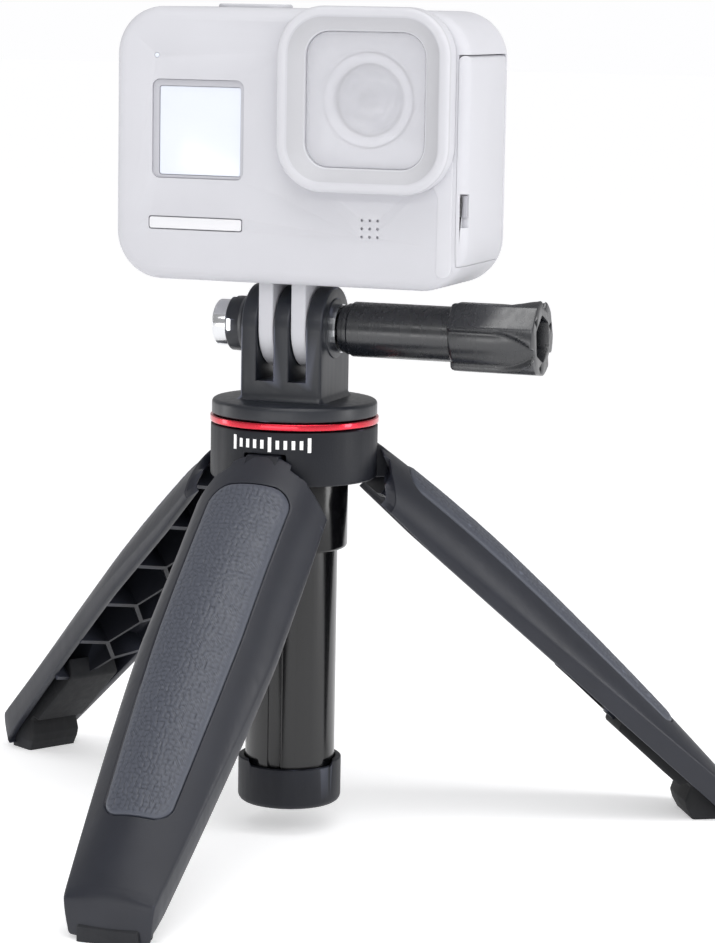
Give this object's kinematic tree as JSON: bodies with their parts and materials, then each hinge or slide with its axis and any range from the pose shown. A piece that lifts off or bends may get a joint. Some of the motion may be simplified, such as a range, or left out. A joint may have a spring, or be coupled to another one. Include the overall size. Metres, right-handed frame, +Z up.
{
  "type": "action camera on folding mini tripod",
  "caption": "Boxy action camera clamped by a thumbscrew to a folding three-leg mini tripod whose telescopic pole and legs double as a hand grip.",
  "frame": {"origin": "centre of the bounding box's footprint on the surface that the feet stand on", "axes": "+Z up; the lens looks along -Y; +X is the thumbscrew's side"},
  "size_m": [0.148, 0.1288, 0.15],
  "materials": {
    "black_matte_plastic": "fine moulded matte, slightly blue black",
    "black_gloss_plastic": "polished black",
    "leather_grain_grip": "pebbled leather grain, matte",
    "foot_rubber": "matte",
    "red_anodised_metal": "glossy red",
    "bright_steel": "polished",
    "pale_shell_plastic": "fine satin, pale grey",
    "pale_trim_plastic": "smooth satin, pale grey",
    "pale_rubber": "matte, pale grey",
    "cover_glass": "clear, flat",
    "touch_glass": "flat, pale grey behind",
    "lens_glass": "coated, domed",
    "display_window": "lit, near white",
    "dark_polymer": "satin",
    "circuit_board": "solder mask",
    "bare_aluminium": "milled",
    "battery_wrap": "printed wrap without lettering"
  },
  "bodies": {
    "tripod_hub": {"hub_body": "black_matte_plastic", "guide_sleeve": "black_gloss_plastic", "trim_ring": "red_anodised_metal", "hinge_pin_front": "bright_steel", "hinge_pin_right": "bright_steel", "hinge_pin_left": "bright_steel"},
    "outer_pole": {"pole_outer_tube": "black_gloss_plastic", "pole_end_cap": "black_matte_plastic"},
    "middle_pole": {"pole_middle_tube": "black_gloss_plastic", "middle_tube_bush": "foot_rubber"},
    "head": {"clevis_head": "black_matte_plastic", "insert_nut": "bright_steel", "pole_inner_tube": "black_gloss_plastic", "inner_tube_bush": "foot_rubber"},
    "thumbscrew": {"thumbscrew_grip": "black_matte_plastic", "clamp_bolt": "bright_steel", "clamp_washer": "bright_steel"},
    "camera": {"front_housing": "pale_shell_plastic", "rear_cover": "pale_shell_plastic", "lens_surround": "pale_trim_plastic", "lens_cover_glass": "cover_glass", "lens_ring": "pale_rubber", "front_element": "lens_glass", "lens_barrel": "dark_polymer", "image_sensor_board": "circuit_board", "front_display_window": "display_window", "front_display_panel": "dark_polymer", "front_badge": "pale_trim_plastic", "status_light": "display_window", "speaker": "dark_polymer", "rear_touchscreen": "touch_glass", "rear_display_panel": "dark_polymer", "main_board": "circuit_board", "heat_sink": "bare_aluminium", "battery": "battery_wrap", "usb_port": "bright_steel", "memory_card": "dark_polymer", "mount_finger_left": "pale_shell_plastic", "mount_finger_right": "pale_shell_plastic", "finger_pin_left": "bright_steel", "finger_pin_right": "bright_steel", "shutter_switch": "bright_steel", "mode_switch": "bright_steel"},
    "shutter": {"shutter_button": "pale_rubber"},
    "mode": {"mode_button": "pale_rubber"},
    "door": {"side_door": "pale_shell_plastic", "door_gasket": "pale_rubber"},
    "latch": {"door_latch": "pale_rubber"},
    "leg_front": {"leg_shell_front": "black_matte_plastic", "grip_pad_front": "leather_grain_grip", "foot_pad_front": "foot_rubber"},
    "leg_right": {"leg_shell_right": "black_matte_plastic", "grip_pad_right": "leather_grain_grip", "foot_pad_right": "foot_rubber"},
    "leg_left": {"leg_shell_left": "black_matte_plastic", "grip_pad_left": "leather_grain_grip", "foot_pad_left": "foot_rubber"}
  },
  "joints": [
    {"name": "leg_front_fold", "type": "hinge", "parent": "tripod_hub", "child": "leg_front", "pos_m": [0, 0.00617, 0.0684], "axis": [1, 0, 0], "range_deg": [0, 46.5]},
    {"name": "leg_right_fold", "type": "hinge", "parent": "tripod_hub", "child": "leg_right", "pos_m": [0.01005, 0.02357, 0.0684], "axis": [-0.5, 0.866, 0], "range_deg": [0, 46.5]},
    {"name": "leg_left_fold", "type": "hinge", "parent": "tripod_hub", "child": "leg_left", "pos_m": [-0.01005, 0.02357, 0.0684], "axis": [-0.5, -0.866, 0], "range_deg": [0, 46.5]},
    {"name": "lower_pole_slide", "type": "slide", "parent": "tripod_hub", "child": "outer_pole", "axis": [0, 0, 1], "range_m": [0, 0.0385]},
    {"name": "middle_pole_slide", "type": "slide", "parent": "outer_pole", "child": "middle_pole", "axis": [0, 0, 1], "range_m": [0, 0.034]},
    {"name": "upper_pole_slide", "type": "slide", "parent": "middle_pole", "child": "head", "axis": [0, 0, 1], "range_m": [0, 0.034]},
    {"name": "camera_tilt", "type": "hinge", "parent": "head", "child": "camera", "pos_m": [0, 0.01777, 0.0926], "axis": [1, 0, 0], "range_deg": [-88, 88]},
    {"name": "thumbscrew_turn", "type": "hinge", "parent": "head", "child": "thumbscrew", "pos_m": [0, 0.01777, 0.0926], "axis": [1, 0, 0], "continuous": true},
    {"name": "side_door_hinge", "type": "hinge", "parent": "camera", "child": "door", "pos_m": [0.0347, 0.01777, 0.141], "axis": [0, -1, 0], "range_deg": [0, 100]},
    {"name": "door_latch_slide", "type": "slide", "parent": "door", "child": "latch", "axis": [0, 0, -1], "range_m": [0, 0.0015], "stiffness_N_per_m": 150, "springref_m": -0.0005},
    {"name": "shutter_press", "type": "slide", "parent": "camera", "child": "shutter", "axis": [0, 0, -1], "range_m": [0, 0.0005], "stiffness_N_per_m": 600, "springref_m": -0.001},
    {"name": "mode_press", "type": "slide", "parent": "camera", "child": "mode", "axis": [1, 0, 0], "range_m": [0, 0.0005], "stiffness_N_per_m": 600, "springref_m": -0.001}
  ]
}
